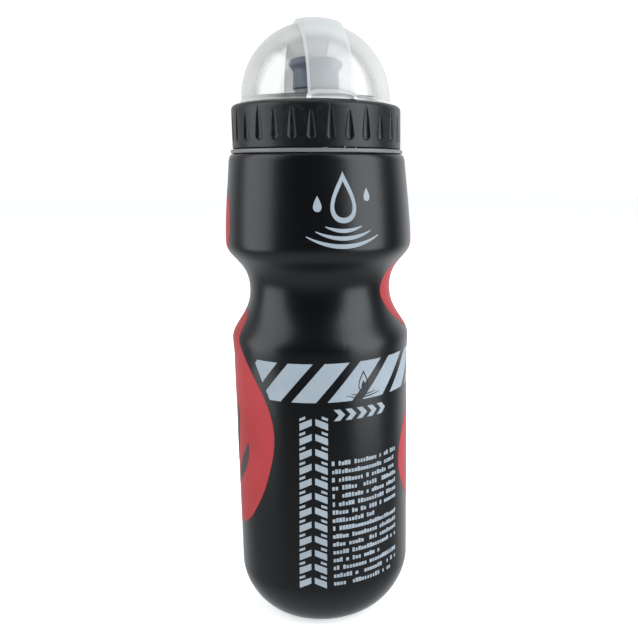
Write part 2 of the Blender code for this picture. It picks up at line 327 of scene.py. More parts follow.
# %% Geometry trees
class GeometryTree(Tree):
    """A Geometry Nodes tree with named inputs."""

    def __init__(self, name, sockets):
        group = bpy.data.node_groups.new(name, "GeometryNodeTree")
        group.interface.new_socket("Geometry", in_out="INPUT", socket_type="NodeSocketGeometry")
        group.interface.new_socket("Geometry", in_out="OUTPUT", socket_type="NodeSocketGeometry")
        for label, kind in sockets.items():
            group.interface.new_socket(label, in_out="INPUT", socket_type="NodeSocket" + kind)
        super().__init__(group)
        self.start = group.nodes.new("NodeGroupInput")
        self.end = group.nodes.new("NodeGroupOutput")

    def input(self, label):
        """One of the tree's own inputs."""
        return Value(self, pick(self.start.outputs, label))

    def close(self, geometry):
        """Ends the tree: instances become real and take the piece's material."""
        real = self.add("GeometryNodeRealizeInstances", {}, {"Geometry": geometry})
        ends = {"Geometry": real, "Material": self.input("Material")}
        done = self.add("GeometryNodeSetMaterial", {}, ends)
        self.group.links.new(done.socket, self.end.inputs[0])

    def polar(self, angle, radius, height):
        """The point at this azimuth, radius and height. Azimuth 0 is the front."""
        x = self.math("SINE", angle) * radius
        y = self.math("COSINE", angle) * radius * -1
        return self.point(x, y, height)


def plain_mesh(piece):
    """Replaces a piece's mesh with what its modifiers make, and removes them."""
    bpy.context.view_layer.update()
    graph = bpy.context.evaluated_depsgraph_get()
    mesh = bpy.data.meshes.new_from_object(piece.evaluated_get(graph))
    piece.modifiers.clear()
    piece.data = mesh


def run_nodes(piece, tree, **values):
    """Runs a geometry tree on a piece. An input's name is given with _ for its spaces."""
    step = piece.modifiers.new(tree.group.name, "NODES")
    step.node_group = tree.group
    for item in tree.group.interface.items_tree:
        if item.in_out == "INPUT" and item.name.replace(" ", "_") in values:
            step[item.identifier] = values[item.name.replace(" ", "_")]
    plain_mesh(piece)


print("geometry trees are ready")

# %% [markdown]
# ## Camera, floor and light
#
# The bottle is shown as a shop shows it: on a white floor that has no end, under broad soft
# light. A glossy black bottle shows its shape only by what it mirrors, so two tall soft boxes
# stand beside it and draw a soft bright band down each side. A third hangs over the lid. The
# camera sees a white room. What the bottle mirrors is a studio instead: bright behind it, dim on
# the viewer's side, and pale below, where the table is. The camera looks a little past the bottle
# and its lens is shifted back, so upright lines lean and level rings stay level.


# %% Camera
CAMERA_PLACE = Vector((0.0, -0.3129, 0.1896))
CAMERA_DIP = math.radians(11.35)
CAMERA_TURN = math.radians(-5.95)
LENS = 41.76
LENS_SHIFT = -0.1216

camera = bpy.data.objects.new("camera", bpy.data.cameras.new("camera"))
bpy.context.scene.collection.objects.link(camera)
camera.data.lens = LENS
camera.data.sensor_width = 36.0
camera.data.shift_x = LENS_SHIFT
camera.data.clip_start = 0.01
aim = Matrix.Rotation(CAMERA_TURN, 4, "Z") @ Matrix.Rotation(math.pi / 2 - CAMERA_DIP, 4, "X")
camera.matrix_world = Matrix.Translation(CAMERA_PLACE) @ aim
bpy.context.scene.camera = camera
bpy.context.scene.view_settings.view_transform = "Standard"
print(f"camera {1000 * CAMERA_PLACE.length:.0f} mm away with a {LENS} mm lens")


# %% Soft boxes and world
BOTTLE_MIDDLE = Vector((0.0, 0.0, 0.12))
LIGHT_COLOUR = (0.93, 0.97, 1.0)
ROOM_LIGHT = 0.5
WHITE_ROOM = 1.06


def soft_box(name, place, width, height, radiance):
    """A rectangular soft light that faces the middle of the bottle."""
    light = bpy.data.lights.new(name, "AREA")
    light.shape = "RECTANGLE"
    light.size = width
    light.size_y = height
    light.energy = radiance * math.pi * width * height
    light.color = LIGHT_COLOUR
    lamp = bpy.data.objects.new(name, light)
    bpy.context.scene.collection.objects.link(lamp)
    towards = (BOTTLE_MIDDLE - Vector(place)).to_track_quat("-Z", "Y")
    lamp.matrix_world = Matrix.Translation(place) @ towards.to_matrix().to_4x4()


soft_box("left_soft_box", (-0.94, -0.16, 0.42), width=0.82, height=1.5, radiance=2.4)
soft_box("right_soft_box", (0.78, -0.45, 0.42), width=0.80, height=1.5, radiance=3.4)
soft_box("top_soft_box", (0.0, 0.15, 1.4), width=1.2, height=1.2, radiance=0.9)

world = bpy.data.worlds.new("studio")
bpy.context.scene.world = world
world.use_nodes = True
world.node_tree.nodes.clear()
world.cycles.sampling_method = "NONE"
sky = Tree(world.node_tree)
ray = sky.add("ShaderNodeLightPath")
seen = ray.other("Is Camera Ray")
glossy = ray.other("Is Glossy Ray")
x, y, z = sky.parts(sky.add("ShaderNodeNewGeometry", {}, {}, "Incoming"))
behind = sky.smooth(0 - y, 0.25, 0.80)
below = sky.smooth(z, 0.15, 0.72)
backdrop = behind * (0.95 - 0.35 * x)
table = (1 - behind) * below * 0.5
mirrored = 0.035 + backdrop + table
lit = glossy * mirrored + (1 - glossy) * ROOM_LIGHT
strength = seen * WHITE_ROOM + (1 - seen) * lit
tint = sky.mix(seen, (0.92, 0.965, 1.0, 1.0), (1.0, 1.0, 1.0, 1.0))
background = sky.add("ShaderNodeBackground", {}, {"Color": tint, "Strength": strength})
sky.add("ShaderNodeOutputWorld", {}, {"Surface": background})
print("three soft boxes and a white room")


# %% Materials and floor
def new_material(name):
    """A material and its empty tree."""
    made = bpy.data.materials.new(name)
    made.use_nodes = True
    made.node_tree.nodes.clear()
    return made, Tree(made.node_tree)


def noise(tree, scale, detail=2.0, coords=None, roughness=0.5):
    """Smooth noise from 0 to 1 on the piece's own coordinates, scale features in a metre."""
    ends = {"Vector": coords or tree.place(), "Scale": scale, "Detail": detail, "Roughness": roughness}
    return tree.add("ShaderNodeTexNoise", {}, ends)


def bump(tree, height, distance, strength=1.0):
    """A normal that is tilted as if the surface rose by height times distance."""
    ends = {"Height": height, "Distance": distance, "Strength": strength}
    return tree.add("ShaderNodeBump", {}, ends)


def surface(tree, **inputs):
    """A Principled shader. An input's name is given with _ for its spaces."""
    named = {key.replace("_", " "): value for key, value in inputs.items()}
    return tree.add("ShaderNodeBsdfPrincipled", {}, named)


def output(tree, shader):
    """Ends a material's tree."""
    tree.add("ShaderNodeOutputMaterial", {}, {"Surface": shader})


def colour(red, green, blue):
    """A colour given from 0 to 255 as a screen shows it, as the shader wants it."""
    return tuple((part / 255) ** 2.2 for part in (red, green, blue)) + (1.0,)


FLOOR_RADIUS = 6.0
FLOOR_GLOW = 0.55
floor_paint, tree = new_material("floor_paint")
clouds = noise(tree, 3.0)
paper = tree.mix(clouds, (0.93, 0.93, 0.93, 1.0), (0.97, 0.97, 0.97, 1.0))
glow = tree.mix(clouds, (0.99, 0.99, 0.99, 1.0), (1.0, 1.0, 1.0, 1.0))
output(tree, surface(
    tree, Base_Color=paper, Roughness=0.9, Specular_IOR_Level=0.1,
    Emission_Color=glow, Emission_Strength=FLOOR_GLOW,
))

shape = bmesh.new()
bmesh.ops.create_circle(shape, cap_ends=True, segments=SMALL_SIDES, radius=FLOOR_RADIUS)
floor = finished("floor", shape, floor_paint)
floor.visible_glossy = False
report(floor)

# %% [markdown]
# ## Black plastic
#
# The bottle is blow moulded from soft polyethylene that is dyed black. It is glossy but not
# polished: the mould leaves a faint orange peel, the gloss changes a little from place to place,
# and handling leaves fine scuffs on the widest rings and one thin scratch below the waist. The
# colour stays nearly even, so the variation is put in the roughness and in a very small bump.


# %% Bottle plastic
WORN_RINGS = [(0.1611, 0.006), (0.1205, 0.005), (0.010, 0.010)]
SCRATCH_X, SCRATCH_Z, SCRATCH_LEAN = 0.00865, 0.124, 0.095
bottle_plastic, tree = new_material("bottle_plastic")
place = tree.place()
across, deep, height = tree.parts(place)
scuff_field = tree.add("ShaderNodeMapping", {}, {"Vector": place, "Scale": (1.0, 1.0, 5.0)})
scuffs = tree.smooth(noise(tree, 160.0, 6.0, scuff_field, 0.7), 0.58, 0.74)
peel = noise(tree, 700.0, 2.0, place)
grain = noise(tree, 3800.0, 2.0, place)
patches = noise(tree, 26.0, 3.0, place)
wear = 0.0
for level, reach in WORN_RINGS:
    near = tree.math("ABSOLUTE", height - level)
    wear = wear + (1 - tree.smooth(near, 0.0, reach))
scuffed = tree.clamp(scuffs * (0.25 + 0.75 * tree.clamp(wear)))
off_line = tree.math("ABSOLUTE", across - SCRATCH_X + SCRATCH_LEAN * (height - SCRATCH_Z))
scratch = (1 - tree.smooth(off_line, 0.00004, 0.00022)) * (deep < 0)
scratch = scratch * tree.smooth(height, 0.121, 0.123) * (1 - tree.smooth(height, 0.133, 0.138))
scuffed = tree.math("MAXIMUM", scuffed, scratch * 2.2)
black = tree.mix(patches, (0.0012, 0.0017, 0.0028, 1.0), (0.0022, 0.0028, 0.0041, 1.0))
worn = tree.mix(tree.clamp(scuffed * 0.3), black, (0.040, 0.042, 0.046, 1.0))
rough = 0.25 + 0.07 * patches + 0.16 * tree.clamp(scuffed) + 0.03 * grain
relief = bump(tree, peel * 0.8 + grain * 0.2, 0.00002, 0.6)
output(tree, surface(tree, Base_Color=worn, Roughness=rough, Normal=relief))
print("bottle plastic: orange peel, patches and scuffed rings")

# %% [markdown]
# ## Bottle body
#
# The body is one hollow blown shell: foot, straight lower body, a narrow waist that is both the
# grip and the place for the cage's tab, a wide chest and a threaded neck. Its outline is a few
# cubic curves, drawn down the outer side. The wall is the same outline moved inwards, so it is
# even as a blown wall nearly is. The thread is a separate ridge that rises out of the neck at
# both ends, as a moulded thread does.

# %% Outline of the body
WALL = 1.3 * MM
NECK_RADIUS = 30.0 * MM
SHELF = Vector((34.2 * MM, 195.9 * MM))
SHOULDER = (35.9 * MM, 192.2 * MM)
CHEST = (CHEST_RADIUS, 161.3 * MM)
WAIST = (29.25 * MM, 141.4 * MM)
BEAD = (37.1 * MM, 121.1 * MM)
BODY_TOP = (BODY_RADIUS, 112.0 * MM)
CORNER = (BODY_RADIUS, 20.7 * MM)
FOOT_OUTER = (22.0 * MM, 0.0)
FOOT_INNER = 18.5 * MM
PUSH_UP = 2.8 * MM


def straight(start, end, steps):
    """The points of a straight run after its start."""
    return [tuple(Vector(start).lerp(Vector(end), step / steps)) for step in range(1, steps + 1)]


outer = rounded([
    (NECK_RADIUS, NECK_TOP, 0.5 * MM),
    (NECK_RADIUS, SHELF.y, 0.6 * MM),
    (SHELF.x, SHELF.y, 0.0),
    (NECK_RADIUS - WALL, SHELF.y - WALL, 0.0),
    (NECK_RADIUS - WALL, NECK_TOP, 0.0),
])[:-2]
outer += curve(outer[-1], (35.3 * MM, SHELF.y), (35.8 * MM, 194.3 * MM), SHOULDER, 10)
outer += curve(SHOULDER, (36.6 * MM, 184.2 * MM), (CHEST[0], 169.4 * MM), CHEST, 24)
outer += curve(CHEST, (CHEST[0], 154.5 * MM), (WAIST[0], 153.7 * MM), WAIST, 36)
outer += curve(WAIST, (WAIST[0], 130.9 * MM), (BEAD[0], 126.5 * MM), BEAD, 32)
outer += curve(BEAD, (BEAD[0], 118.0 * MM), (BODY_RADIUS, 115.5 * MM), BODY_TOP, 12)
outer += straight(BODY_TOP, CORNER, 44)
outer += curve(CORNER, (BODY_RADIUS, 11.1 * MM), (28.0 * MM, 0.0), FOOT_OUTER, 24)
outer += [(FOOT_INNER + 0.4 * MM, 0.0), (FOOT_INNER - 0.2 * MM, 0.12 * MM)]
outer += curve(outer[-1], (16.5 * MM, 1.5 * MM), (9.0 * MM, PUSH_UP), (0.0, PUSH_UP), 14)
inner = inset(outer, WALL)[::-1]
inner[0] = (0.0, PUSH_UP + WALL)
inner[-1] = (NECK_RADIUS - WALL + 0.3 * MM, NECK_TOP)
print(f"{len(outer)} points down the outer side")


# %% Body and its thread
PITCH = 4.5 * MM
THREAD_TURNS = 1.5
THREAD_START = 201.2 * MM
RUN_OUT = math.radians(45)


def thread_into(shape, root, crest, start):
    """A right-handed ridge of 1.5 turns that rises out of its wall at both ends."""
    sections = []
    steps = round(THREAD_TURNS * SIDES)
    for step in range(steps + 1):
        turn = math.tau * step / SIDES
        left = math.tau * THREAD_TURNS - turn
        rise = max(0.04, math.sin(min(turn, left, RUN_OUT) / RUN_OUT * math.pi / 2))
        top = root + (crest - root) * rise
        middle = start + PITCH * turn / math.tau
        ridge = [(root, -1.0), (0.3 * root + 0.7 * top, -0.65), (top, -0.35)]
        ridge += [(r, -offset) for r, offset in reversed(ridge)]
        sections.append([
            shape.verts.new((r * math.sin(turn), -r * math.cos(turn), middle + offset * MM))
            for r, offset in ridge
        ])
    skinned(shape, sections)


shape = bmesh.new()
turned_into(shape, outer + inner)
thread_into(shape, 29.6 * MM, 31.15 * MM, THREAD_START)
body = finished("bottle_shell", shape, bottle_plastic)
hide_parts("bottle_body")
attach(body, "bottle")
report(body)

# %% [markdown]
# ## Printing inks
#
# The marks are screen printed: a thin skin of opaque ink that stands a few hundredths of a
# millimetre proud and is duller than the plastic. Each ink has small pinholes and a mottled
# gloss, because soft polyethylene takes ink badly. A real bottle of this kind carries names and
# an address. Here they are replaced with plain shapes: a tyre track, arrowheads, a drop with
# ripples, and rows of dashes.


# %% Inks
def ink(name, base, shade):
    """A dull printing ink that goes from base to shade in patches."""
    made, tree = new_material(name)
    place = tree.place()
    patches = noise(tree, 45.0, 4.0, place, 0.6)
    speck = tree.smooth(noise(tree, 1500.0, 3.0, place, 0.6), 0.66, 0.74)
    tone = tree.mix(tree.smooth(patches, 0.3, 0.7), base, shade)
    flecked = tree.mix(speck * 0.35, tone, tuple(0.35 * part for part in base[:3]) + (1.0,))
    relief = bump(tree, noise(tree, 1100.0, 2.0, place), 0.00002, 0.5)
    rough = 0.42 + 0.12 * patches + 0.2 * speck
    output(tree, surface(
        tree, Base_Color=flecked, Roughness=rough, Normal=relief, Specular_IOR_Level=0.3,
    ))
    return made


pale_ink = ink("pale_ink", colour(145, 155, 163), colour(135, 145, 154))
red_ink = ink("red_ink", colour(163, 49, 52), colour(152, 43, 46))
grey_ink = ink("grey_ink", colour(72, 66, 67), colour(60, 56, 58))
dark_ink = ink("dark_ink", colour(44, 50, 58), colour(36, 41, 48))
print("four inks")

# %% [markdown]
# ## Laying a print on the bottle
#
# A print is drawn flat, with x as the distance round the bottle and z as the height. It is then
# cut into narrow cells, so that it can bend, and a Geometry Nodes tree drops each point onto the
# body along a ray that runs straight in to the axis. This is how the real ink gets there too: a
# flat stencil meets a round bottle. A thin even wall then turns the skin into closed ink.

# %% Tree that wraps a flat print
wrap = GeometryTree("wrap_print", {
    "Bottle": "Object", "Wrap radius": "Float", "Ink lift": "Float", "Material": "Material",
})
distance, _, height = wrap.parts(wrap.add("GeometryNodeInputPosition"))
turn = distance / wrap.input("Wrap radius")
target = wrap.add("GeometryNodeObjectInfo", {}, {"Object": wrap.input("Bottle")}, "Geometry")
outside = wrap.input("Wrap radius") * 2
ends = {
    "Target Geometry": target,
    "Source Position": wrap.polar(turn, outside, height),
    "Ray Direction": wrap.polar(turn, -1.0, 0.0),
    "Ray Length": outside,
}
hit = wrap.add("GeometryNodeRaycast", {}, ends, "Hit Position")
ends = {0: hit.other("Hit Normal"), "Scale": wrap.input("Ink lift")}
lift = wrap.add("ShaderNodeVectorMath", {"operation": "SCALE"}, ends)
ends = {"Geometry": wrap.input("Geometry"), "Position": wrap.vector("ADD", hit, lift)}
wrap.close(wrap.add("GeometryNodeSetPosition", {}, ends))
print("wrap tree:", len(wrap.group.nodes), "nodes")

# %% Flat shapes, cutting and wrapping
CELL = 1.1 * MM
INK = 0.07 * MM
SUNK = -0.03 * MM
ON_INK = SUNK + INK


def around(degrees):
    """The distance round the lower body from the front to this azimuth."""
    return math.radians(degrees) * BODY_RADIUS


def flat_shape(name, loops, smooth=False):
    """A flat mesh that fills closed loops of (x, z) points. A loop inside another is a hole."""
    drawing = bpy.data.curves.new(name, "CURVE")
    drawing.dimensions = "2D"
    drawing.fill_mode = "BOTH"
    drawing.resolution_u = 10
    for loop in loops:
        spline = drawing.splines.new("BEZIER" if smooth else "POLY")
        points = spline.bezier_points if smooth else spline.points
        points.add(len(loop) - 1)
        for point, (x, z) in zip(points, loop):
            point.co = (x, z, 0.0) if smooth else (x, z, 0.0, 1.0)
            if smooth:
                point.handle_left_type = point.handle_right_type = "AUTO"
        spline.use_cyclic_u = True
    made = bpy.data.objects.new(name, drawing)
    bpy.context.scene.collection.objects.link(made)
    bpy.context.view_layer.update()
    mesh = bpy.data.meshes.new_from_object(made.evaluated_get(bpy.context.evaluated_depsgraph_get()))
    bpy.data.objects.remove(made)
    mesh.transform(Matrix.Rotation(math.pi / 2, 4, "X"))
    flat = bpy.data.objects.new(name, mesh)
    bpy.context.scene.collection.objects.link(flat)
    return flat


def cut_into_cells(flat):
    """Cuts a flat mesh along evenly spaced upright and level lines."""
    shape = bmesh.new()
    shape.from_mesh(flat.data)
    bmesh.ops.remove_doubles(shape, verts=shape.verts, dist=1e-6)
    for axis, normal in ((0, (1, 0, 0)), (2, (0, 0, 1))):
        places = [v.co[axis] for v in shape.verts]
        first = math.floor(min(places) / CELL) + 1
        for line in range(first, math.ceil(max(places) / CELL)):
            everything = shape.verts[:] + shape.edges[:] + shape.faces[:]
            spot = Vector(normal) * line * CELL
            bmesh.ops.bisect_plane(shape, geom=everything, plane_co=spot, plane_no=normal)
    for face in shape.faces:
        if face.normal.y > 0:
            face.normal_flip()
    shape.to_mesh(flat.data)
    shape.free()


def printed(flat, material, lift=SUNK):
    """Cuts a flat print, wraps it round the body and gives the ink its thickness."""
    cut_into_cells(flat)
    run_nodes(flat, wrap, Bottle=body, Wrap_radius=BODY_RADIUS, Ink_lift=lift, Material=material)
    skin = flat.modifiers.new("Ink", "SOLIDIFY")
    skin.thickness = INK
    skin.offset = 1.0
    plain_mesh(flat)
    flat.data.shade_smooth()
    flat.data.set_sharp_from_angle(angle=INK_SMOOTH_ANGLE)
    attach(flat, "bottle")
    report(flat)


print("prints are cut every", 1000 * CELL, "mm")

# %% [markdown]
# ## Red panels
#
# Two large red panels cover the sides of the lower body and two smaller ones the sides of the
# waist and chest. Only their edges show from the front. Each is drawn as a few points on its
# edge, in degrees round the bottle and millimetres up it, joined by a smooth closed curve. Grey
# leaf strokes lie on the lower panels.


# %% Panels and leaves
def outline_at(points):
    """Points in (degrees, millimetres) as points in metres on the flat print."""
    return [(around(degrees), height * MM) for degrees, height in points]


panels = {}
panels["red_panel_lower_left"] = [
    (-31.9, 84), (-33.4, 93), (-39.5, 102.3), (-48, 109.5), (-56.8, 116.6), (-63, 122.5),
    (-69, 131.5), (-84, 133.5), (-100, 124), (-114, 103), (-118, 82), (-112, 60), (-96, 43),
    (-77, 40.5), (-58.6, 46.2), (-49.6, 52.9), (-42.8, 60.0), (-35.8, 71.6),
]
panels["red_panel_lower_right"] = [
    (58.3, 70), (61, 78), (69, 86), (84, 94), (105, 98), (126, 93), (141, 83), (148, 70),
    (141, 56), (126, 46), (105, 41), (84, 46), (69, 54), (61, 62),
]
panels["red_panel_upper_right"] = [
    (55.2, 142), (57.3, 146.5), (61.5, 150.2), (68, 153.5), (73.5, 158), (77.5, 164), (86, 171.5),
    (102, 177), (122, 176), (138, 166), (143, 148), (130, 132), (106, 123.5), (84, 124),
    (71, 128.5), (59.5, 136.3),
]
panels["red_panel_upper_left"] = [
    (-67, 169), (-71, 160), (-84, 150), (-104, 144), (-126, 150), (-140, 162), (-134, 176),
    (-112, 184), (-86, 183), (-71, 178),
]
for name, points in panels.items():
    printed(flat_shape(name, [outline_at(points)], smooth=True), red_ink)


def leaf(start, end, bulge, width):
    """A pointed stroke from start to end that bows sideways. All in degrees and millimetres."""
    left, right = [], []
    for step in range(13):
        t = step / 12
        middle = start[0] + (end[0] - start[0]) * t + bulge * 4 * t * (1 - t)
        level = start[1] + (end[1] - start[1]) * t
        half = width / 2 * math.sin(math.pi * t) ** 0.7 + 0.1
        left.append((middle - half, level + 0.2 * half))
        right.append((middle + half, level - 0.2 * half))
    return left + right[::-1]


leaves = {
    "grey_leaves_left": [
        leaf((-82, 57), (-56.5, 80), bulge=4, width=7),
        leaf((-101, 57), (-72, 94), bulge=6, width=8),
        leaf((-108, 78), (-84, 112), bulge=6, width=8),
    ],
    "grey_leaves_right": [
        leaf((84, 56), (101, 80), bulge=4, width=7),
        leaf((99, 50), (121, 86), bulge=6, width=8),
        leaf((116, 52), (134, 76), bulge=4, width=7),
    ],
}
for name, strokes in leaves.items():
    printed(flat_shape(name, [outline_at(stroke) for stroke in strokes]), grey_ink, ON_INK)

# %% [markdown]
# ## Slanted stripes
#
# A band of leaning stripes runs round the front below the bead. All stripes are the same, so one
# is drawn and a Geometry Nodes tree repeats it along a line. At its left end the band is cut off
# along the edge of the red panel: points beyond a slanted line are pulled onto it and then merged,
# which trims the stripes without a Boolean.

# %% Tree that repeats a shape along a line
row_tree = GeometryTree("row_of_marks", {
    "Count": "Int", "First": "Vector", "Step": "Vector", "Material": "Material",
})
ends = {"Count": row_tree.input("Count"), "Start Location": row_tree.input("First")}
ends["Offset"] = row_tree.input("Step")
spots = row_tree.add("GeometryNodeMeshLine", {}, ends)
copies = {"Points": spots, "Instance": row_tree.input("Geometry")}
row_tree.close(row_tree.add("GeometryNodeInstanceOnPoints", {}, copies))
print("row tree:", len(row_tree.group.nodes), "nodes")

# %% Stripes
STRIPE_LOW = 101.2 * MM
STRIPE_HIGH = 116.8 * MM
STRIPES = 7
STRIPE_WIDTH = around(15.3)
STRIPE_PITCH = around(22.3)
STRIPE_LEAN = around(21.0)
FIRST_STRIPE = around(-19.4) - 2 * STRIPE_PITCH
TRIM_START = around(-34.2)
TRIM_SLOPE = around(-0.80) / MM


def trim(flat):
    """Pulls what lies left of the slanted line onto it and merges it."""
    shape = bmesh.new()
    shape.from_mesh(flat.data)
    for vert in shape.verts:
        edge = TRIM_START + TRIM_SLOPE * (vert.co.z - STRIPE_LOW)
        vert.co.x = max(vert.co.x, edge)
    bmesh.ops.remove_doubles(shape, verts=shape.verts, dist=0.02 * MM)
    bmesh.ops.dissolve_degenerate(shape, edges=shape.edges, dist=0.02 * MM)
    loose = [face for face in shape.faces if face.calc_area() < 1e-9]
    bmesh.ops.delete(shape, geom=loose, context="FACES")
    shape.to_mesh(flat.data)
    shape.free()


stripe = flat_shape("pale_stripes", [[
    (0.0, 0.0),
    (STRIPE_WIDTH, 0.0),
    (STRIPE_WIDTH + STRIPE_LEAN, STRIPE_HIGH - STRIPE_LOW),
    (STRIPE_LEAN, STRIPE_HIGH - STRIPE_LOW),
]])
cut_into_cells(stripe)
run_nodes(
    stripe, row_tree, Count=STRIPES, First=(FIRST_STRIPE, 0.0, STRIPE_LOW),
    Step=(STRIPE_PITCH, 0.0, 0.0), Material=pale_ink,
)
trim(stripe)
printed(stripe, pale_ink)

# %% [markdown]
# ## Tyre track, arrowheads and drop
#
# A tall upright mark stands left of the dashes, a short bold one below the stripes, and a large
# mark on the chest. The tall one is the track of a knobbly tyre, the short one is a row of
# arrowheads, and the large one is a drop over its ripples. A small dark drop lies on a stripe.


# %% Tyre track and arrowheads
def flipped(points):
    """The points on the other side of x = 0."""
    return [(-x, z) for x, z in reversed(points)]


def in_metres(points):
    """Points that are drawn in millimetres."""
    return [(MM * x, MM * z) for x, z in points]


TRACK_ROWS = 12
TRACK_STEP = (around(0.24), 0.0, 6.15 * MM)
TRACK_START = (around(-8.4), 0.0, 22.2 * MM)
block = [(-5.6, 0.0), (-0.7, 2.3), (-0.7, 5.0), (-5.6, 2.9)]
knob = [(-5.6, 3.9), (-3.2, 4.9), (-3.2, 6.0), (-5.6, 5.0)]
loops = [in_metres(loop) for loop in (block, flipped(block), knob, flipped(knob))]
track = flat_shape("pale_tyre_track", loops)
run_nodes(
    track, row_tree, Count=TRACK_ROWS, First=TRACK_START, Step=TRACK_STEP, Material=pale_ink,
)
printed(track, pale_ink)

ARROWS = 5
ARROW_STEP = (4.7 * MM, 0.0, 0.0)
ARROW_START = (around(6.5), 0.0, 93.6 * MM)
head = [(0.0, 0.0), (2.5, 0.0), (4.6, 2.3), (2.5, 4.6), (0.0, 4.6), (2.1, 2.3)]
arrows = flat_shape("pale_arrowheads", [in_metres(head)])
run_nodes(
    arrows, row_tree, Count=ARROWS, First=ARROW_START, Step=ARROW_STEP, Material=pale_ink,
)
printed(arrows, pale_ink)


# %% Drop and ripples
def drop(size):
    """A drop of this height: a circle below that runs up into a point."""
    points = []
    for step in range(48):
        t = math.tau * step / 48
        width = math.sin(t) * math.sin(t / 2) ** 1.4
        points.append((0.36 * size * width, size * (0.5 + 0.5 * math.cos(t))))
    return points


def ripple(half, level, sag, thickness):
    """A curved stroke that thins towards its ends."""
    upper, lower = [], []
    for step in range(25):
        x = half * (step / 12 - 1)
        fall = level + sag * (x / half) ** 2
        thick = thickness * (1 - 0.75 * (x / half) ** 2) / 2
        upper.append((x, fall + thick))
        lower.append((x, fall - thick))
    return upper + lower[::-1]


def at(points, x, z):
    """The points moved by x and z."""
    return [(px + x, pz + z) for px, pz in points]


def mark_at(name, loops, degrees):
    """A flat mark drawn in millimetres, its middle at this azimuth."""
    return flat_shape(name, [at(in_metres(loop), around(degrees), 0.0) for loop in loops])


emblem = mark_at("pale_drop_mark", [
    at(drop(19.0), 0.0, 170.4),
    at(drop(13.5), 0.0, 172.4),
    ripple(6.8, 167.6, 1.6, 1.5),
    ripple(10.4, 164.8, 2.6, 1.6),
    ripple(13.8, 161.8, 3.8, 1.7),
    at(drop(6.0), -9.6, 174.6),
    at(drop(5.0), 9.4, 178.4),
], 14.2)
printed(emblem, pale_ink)

badge = mark_at("dark_drop_badge", [
    at(drop(8.6), 0.0, 104.4),
    at(drop(7.2), 0.0, 104.9),
    at(drop(3.4), 0.0, 105.6),
    ripple(5.4, 103.2, 0.8, 0.45),
    ripple(7.6, 102.2, 1.2, 0.45),
], 26.0)
printed(badge, dark_ink, ON_INK)

# %% [markdown]
# ## Rows of dashes
#
# A block of small print fills the lower right of the front. It becomes sixteen rows of plain
# dashes, which look like print from afar and say nothing. A Geometry Nodes tree makes them from
# points, one for each place in a row. Seeded random values give each row its length and each dash
# its width and height, and leave some places empty, as the spaces between words are.

# %% Tree that makes the dashes
ROWS = 16
PLACES = 24
dash_tree = GeometryTree("rows_of_dashes", {
    "Row step": "Float", "Place step": "Float", "First": "Vector", "Seed": "Int",
    "Material": "Material",
})
index = dash_tree.add("GeometryNodeInputIndex")
row = dash_tree.math("FLOOR", (index + 0.5) / PLACES)
spot = index - row * PLACES
seed = dash_tree.input("Seed")


def chance(ident, low, high, seed_step):
    """A random value between low and high that stays the same for the same ident."""
    ends = {"Min_001": low, "Max_001": high, "ID": ident, "Seed": seed + seed_step}
    return dash_tree.add("FunctionNodeRandomValue", {"data_type": "FLOAT"}, ends, "Value_001")


row_end = chance(row, 0.35, 1.9, 0) * PLACES
space = (chance(index, 0.0, 1.0, 1) < 0.17) * (spot > 0.5)
width = chance(index, 0.62, 0.96, 2)
tall = 0.78 + 0.22 * (chance(index, 0.0, 1.0, 3) > 0.62)
first_x, _, first_z = dash_tree.parts(dash_tree.input("First"))
x = first_x + (spot + 0.5) * dash_tree.input("Place step")
z = first_z - row * dash_tree.input("Row step")
points = dash_tree.add("GeometryNodePoints", {}, {
    "Count": ROWS * PLACES,
    "Position": dash_tree.point(x, 0.0, z),
})
unused = dash_tree.math("MAXIMUM", space, spot > row_end)
kept = dash_tree.add("GeometryNodeDeleteGeometry", {}, {"Geometry": points, "Selection": unused})
scale = dash_tree.point(width, 1.0, tall)
copies = {"Points": kept, "Instance": dash_tree.input("Geometry"), "Scale": scale}
dash_tree.close(dash_tree.add("GeometryNodeInstanceOnPoints", {}, copies))
print("dash tree:", len(dash_tree.group.nodes), "nodes")

# %% Dashes
PLACE_STEP = 1.32 * MM
ROW_STEP = 3.46 * MM
DASH_HALF = PLACE_STEP / 2
DASH_HEIGHT = 1.85 * MM
FIRST_DASH = (around(4.6), 0.0, 75.1 * MM)
dashes = flat_shape("pale_dashes", [[
    (-DASH_HALF, 0.0),
    (DASH_HALF, 0.0),
    (DASH_HALF, DASH_HEIGHT),
    (-DASH_HALF, DASH_HEIGHT),
]])
run_nodes(
    dashes, dash_tree, Row_step=ROW_STEP, Place_step=PLACE_STEP, First=FIRST_DASH, Seed=11,
    Material=pale_ink,
)
printed(dashes, pale_ink)

# %% [markdown]
# ## Seal ring
#
# A flat ring of soft milky rubber lies between the bottle's shelf and the lid, and its edge shows
# as a pale line. It is a simple turned ring with a rounded edge. Small tags of flash, which the
# mould leaves at its parting line, stand on its rim at the front.

# %% Seal rubber
seal_rubber, tree = new_material("seal_rubber")
place = tree.place()
clouds = noise(tree, 120.0, 4.0, place)
milk = tree.mix(clouds, (0.12, 0.125, 0.13, 1.0), (0.17, 0.175, 0.185, 1.0))
relief = bump(tree, noise(tree, 900.0, 3.0, place), 0.00004)
output(tree, surface(
    tree, Base_Color=milk, Roughness=0.32 + 0.2 * clouds, Normal=relief,
    Subsurface_Weight=0.3, Subsurface_Scale=0.002,
))
print("seal rubber: milky with soft clouds")

